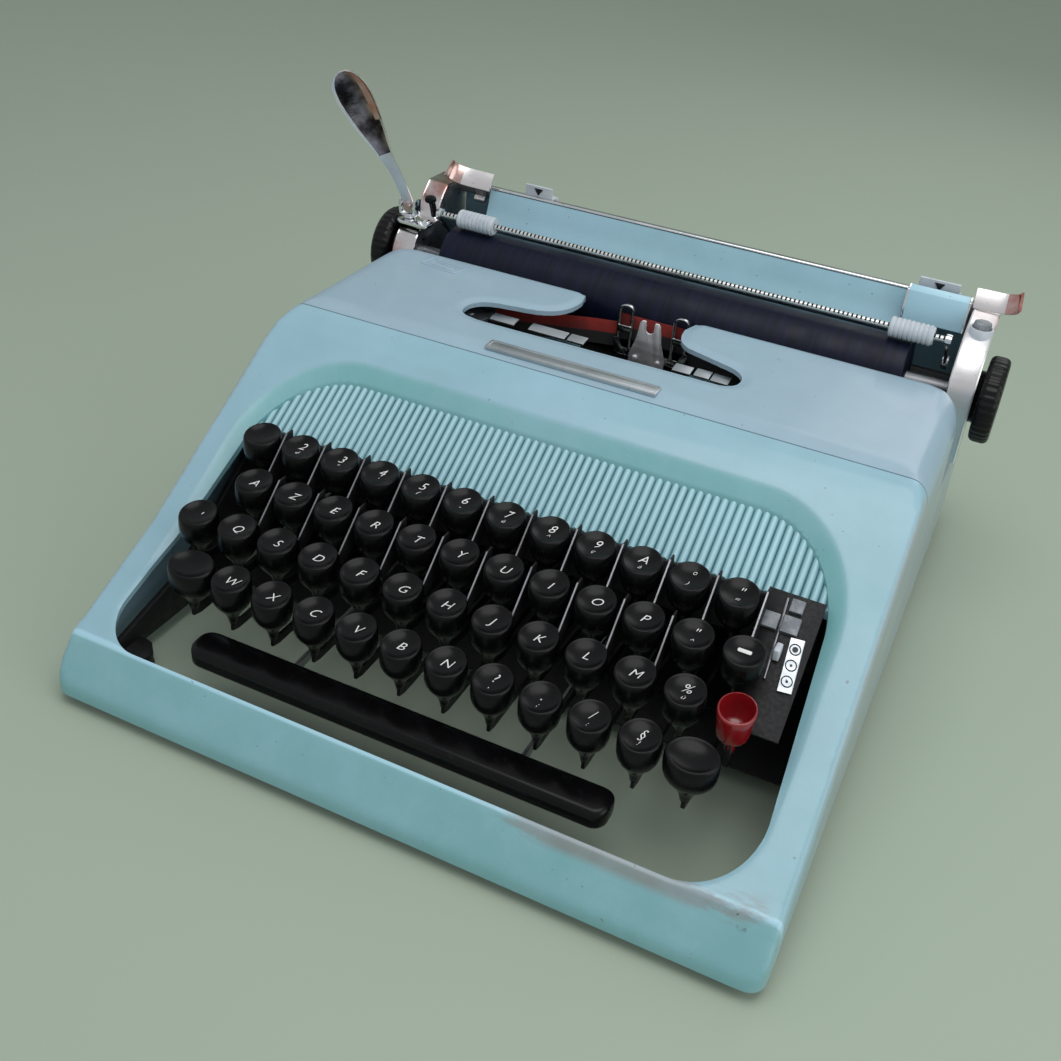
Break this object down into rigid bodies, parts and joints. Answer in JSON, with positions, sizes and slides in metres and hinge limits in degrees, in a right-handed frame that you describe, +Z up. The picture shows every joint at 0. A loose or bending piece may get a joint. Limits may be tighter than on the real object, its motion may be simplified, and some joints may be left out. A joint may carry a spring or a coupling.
{
  "type": "portable typewriter",
  "caption": "Portable manual typewriter with a curved metal housing, cup-shaped keys, a lifting ribbon cover and a sliding carriage with platen, paper bail and return lever.",
  "frame": {"origin": "centre of the bounding box in plan, at the bottom of the feet", "axes": "+X to the typist's right, along the carriage; +Y away from the typist; +Z up"},
  "size_m": [0.3318, 0.352, 0.2004],
  "materials": {
    "housing_paint": "semi-gloss sprayed enamel, pale blue",
    "cover_paint": "semi-gloss sprayed enamel, pale grey-blue",
    "panel_paint": "semi-gloss sprayed enamel, aqua",
    "black_plastic": "polished",
    "red_plastic": "polished",
    "black_enamel": "satin black enamel",
    "chrome": "polished plate",
    "steel": "brushed",
    "rubber": "matt ground rubber",
    "pale_plastic": "satin",
    "ribbon": "inked woven ribbon",
    "silver_plate": "satin anodised"
  },
  "bodies": {
    "machine": {"body_shell": "housing_paint", "ribbed_panel": "panel_paint", "chassis": "black_enamel", "foot_front_left": "rubber", "foot_front_right": "rubber", "foot_rear_left": "rubber", "foot_rear_right": "rubber", "selector_panel": "black_enamel", "selector_plate": "silver_plate", "type_guide": "chrome", "ribbon_left": "ribbon", "ribbon_right": "ribbon", "carriage_rail_front": "steel", "carriage_rail_rear": "steel"},
    "cover": {"ribbon_cover": "cover_paint", "name_plate": "silver_plate"},
    "key_row_1": {"key_row_1": "black_plastic"},
    "key_row_2": {"key_row_2": "black_plastic"},
    "key_row_3": {"key_row_3": "black_plastic"},
    "key_row_4": {"key_row_4": "black_plastic"},
    "backspace": {"backspace_key": "black_plastic"},
    "tab": {"tab_key": "red_plastic"},
    "shift_lock": {"shift_lock_key": "black_plastic"},
    "shift_left": {"shift_key_left": "black_plastic"},
    "shift_right": {"shift_key_right": "black_plastic"},
    "space": {"space_bar": "black_plastic"},
    "selector": {"selector_knob": "chrome"},
    "basket": {"type_segment": "steel", "typebars": "steel"},
    "vibrator": {"ribbon_vibrator": "chrome", "ribbon_middle": "ribbon"},
    "spool_left": {"ribbon_spool_left": "steel"},
    "spool_right": {"ribbon_spool_right": "steel"},
    "carriage": {"carriage_frame": "black_enamel", "carriage_back": "housing_paint", "carriage_end_left": "chrome", "carriage_end_right": "chrome", "paper_table": "housing_paint", "table_end_cover": "housing_paint", "margin_rail": "steel", "return_lever_bracket": "chrome"},
    "platen": {"platen": "rubber", "platen_shaft": "steel", "platen_knob_left": "black_plastic", "platen_knob_right": "black_plastic"},
    "bail": {"paper_bail": "chrome"},
    "bail_roller_left": {"bail_roller_left": "pale_plastic"},
    "bail_roller_right": {"bail_roller_right": "pale_plastic"},
    "margin_left": {"margin_stop_left": "pale_plastic"},
    "margin_right": {"margin_stop_right": "pale_plastic"},
    "release_left": {"carriage_release_left": "chrome"},
    "release_right": {"carriage_release_right": "chrome"},
    "button": {"end_button": "pale_plastic"},
    "line_space": {"line_space_lever": "black_plastic"},
    "return_clevis": {"return_lever_clevis": "chrome"},
    "return_arm": {"return_lever": "chrome"}
  },
  "joints": [
    {"name": "key_row_1_press", "type": "hinge", "parent": "machine", "child": "key_row_1", "pos_m": [0.00592, 0.049, 0.032], "axis": [1, 0, 0], "range_deg": [0, 5.6], "stiffness_Nm_per_rad": 2, "springref_deg": -5.73},
    {"name": "key_row_2_press", "type": "hinge", "parent": "machine", "child": "key_row_2", "pos_m": [0.00592, 0.049, 0.032], "axis": [1, 0, 0], "range_deg": [0, 4.9], "stiffness_Nm_per_rad": 2, "springref_deg": -5.73},
    {"name": "key_row_3_press", "type": "hinge", "parent": "machine", "child": "key_row_3", "pos_m": [0.00592, 0.049, 0.032], "axis": [1, 0, 0], "range_deg": [0, 4.4], "stiffness_Nm_per_rad": 2, "springref_deg": -5.73},
    {"name": "key_row_4_press", "type": "hinge", "parent": "machine", "child": "key_row_4", "pos_m": [0.00592, 0.049, 0.032], "axis": [1, 0, 0], "range_deg": [0, 4], "stiffness_Nm_per_rad": 2, "springref_deg": -5.73},
    {"name": "backspace_press", "type": "hinge", "parent": "machine", "child": "backspace", "pos_m": [0.00592, 0.049, 0.032], "axis": [1, 0, 0], "range_deg": [0, 4.9], "stiffness_Nm_per_rad": 1, "springref_deg": -5.73},
    {"name": "tab_press", "type": "hinge", "parent": "machine", "child": "tab", "pos_m": [0.00592, 0.049, 0.032], "axis": [1, 0, 0], "range_deg": [0, 4.4], "stiffness_Nm_per_rad": 1, "springref_deg": -5.73},
    {"name": "shift_lock_press", "type": "hinge", "parent": "machine", "child": "shift_lock", "pos_m": [0.00592, 0.049, 0.032], "axis": [1, 0, 0], "range_deg": [0, 3.4], "stiffness_Nm_per_rad": 1, "springref_deg": -5.73},
    {"name": "shift_left_press", "type": "hinge", "parent": "machine", "child": "shift_left", "pos_m": [0.00592, 0.049, 0.032], "axis": [1, 0, 0], "range_deg": [0, 3.1], "stiffness_Nm_per_rad": 3, "springref_deg": -5.73},
    {"name": "shift_right_press", "type": "hinge", "parent": "machine", "child": "shift_right", "pos_m": [0.00592, 0.049, 0.032], "axis": [1, 0, 0], "range_deg": [0, 3.1], "stiffness_Nm_per_rad": 1, "springref_deg": -5.73},
    {"name": "space_press", "type": "hinge", "parent": "machine", "child": "space", "pos_m": [0.00592, 0.049, 0.032], "axis": [1, 0, 0], "range_deg": [0, 2.6], "stiffness_Nm_per_rad": 2, "springref_deg": -5.73},
    {"name": "cover_hinge", "type": "hinge", "parent": "machine", "child": "cover", "pos_m": [0.00592, -0.0107, 0.114], "axis": [1, 0, 0], "range_deg": [0, 70]},
    {"name": "selector_slide", "type": "slide", "parent": "machine", "child": "selector", "axis": [0, 0.8262, 0.5633], "range_m": [-0.007, 0.007]},
    {"name": "basket_shift", "type": "slide", "parent": "machine", "child": "basket", "axis": [0, 0, 1], "range_m": [-0.0065, 0]},
    {"name": "vibrator_lift", "type": "slide", "parent": "machine", "child": "vibrator", "axis": [0, 0, 1], "range_m": [0, 0.006], "stiffness_N_per_m": 60, "springref_m": -0.01},
    {"name": "spool_left_spin", "type": "hinge", "parent": "machine", "child": "spool_left", "pos_m": [-0.08607, 0.037, 0.095], "axis": [0, 0, 1], "continuous": true},
    {"name": "spool_right_spin", "type": "hinge", "parent": "machine", "child": "spool_right", "pos_m": [0.09792, 0.037, 0.095], "axis": [0, 0, 1], "continuous": true},
    {"name": "carriage_slide", "type": "slide", "parent": "machine", "child": "carriage", "axis": [1, 0, 0], "range_m": [-0.115, 0.115]},
    {"name": "platen_spin", "type": "hinge", "parent": "carriage", "child": "platen", "pos_m": [0.00592, 0.097, 0.1045], "axis": [1, 0, 0], "continuous": true},
    {"name": "bail_lift", "type": "hinge", "parent": "carriage", "child": "bail", "pos_m": [0.00592, 0.111, 0.111], "axis": [-1, 0, 0], "range_deg": [0, 42]},
    {"name": "bail_roller_left_spin", "type": "hinge", "parent": "bail", "child": "bail_roller_left", "pos_m": [-0.10107, 0.095, 0.1284], "axis": [1, 0, 0], "continuous": true},
    {"name": "bail_roller_right_spin", "type": "hinge", "parent": "bail", "child": "bail_roller_right", "pos_m": [0.12093, 0.095, 0.1284], "axis": [1, 0, 0], "continuous": true},
    {"name": "margin_left_slide", "type": "slide", "parent": "carriage", "child": "margin_left", "axis": [1, 0, 0], "range_m": [-0.032, 0.18]},
    {"name": "margin_right_slide", "type": "slide", "parent": "carriage", "child": "margin_right", "axis": [1, 0, 0], "range_m": [-0.18, 0.007]},
    {"name": "release_left_press", "type": "hinge", "parent": "carriage", "child": "release_left", "pos_m": [-0.12807, 0.129, 0.127], "axis": [1, 0, 0], "range_deg": [0, 10], "stiffness_Nm_per_rad": 0.5, "springref_deg": -17.19},
    {"name": "release_right_press", "type": "hinge", "parent": "carriage", "child": "release_right", "pos_m": [0.14793, 0.129, 0.127], "axis": [1, 0, 0], "range_deg": [0, 10], "stiffness_Nm_per_rad": 0.5, "springref_deg": -17.19},
    {"name": "end_button_press", "type": "slide", "parent": "carriage", "child": "button", "axis": [0, 0, -1], "range_m": [0, 0.0025], "stiffness_N_per_m": 200, "springref_m": -0.005},
    {"name": "line_space_turn", "type": "hinge", "parent": "carriage", "child": "line_space", "pos_m": [-0.12768, 0.098, 0.1252], "axis": [1, 0, 0], "range_deg": [-12, 12]},
    {"name": "return_stroke", "type": "hinge", "parent": "carriage", "child": "return_clevis", "pos_m": [-0.13958, 0.093, 0.129], "axis": [0, 0, 1], "range_deg": [0, 38], "stiffness_Nm_per_rad": 0.15, "springref_deg": -11.46},
    {"name": "return_fold", "type": "hinge", "parent": "return_clevis", "child": "return_arm", "pos_m": [-0.13958, 0.093, 0.129], "axis": [1, 0, 0], "range_deg": [0, 55]}
  ],
  "couplings": [
    {"joint": "shift_right_press", "follows": "shift_left_press", "ratio": 1},
    {"joint": "basket_shift", "follows": "shift_left_press", "m_per_rad": -0.11},
    {"joint": "spool_right_spin", "follows": "spool_left_spin", "ratio": 1}
  ]
}
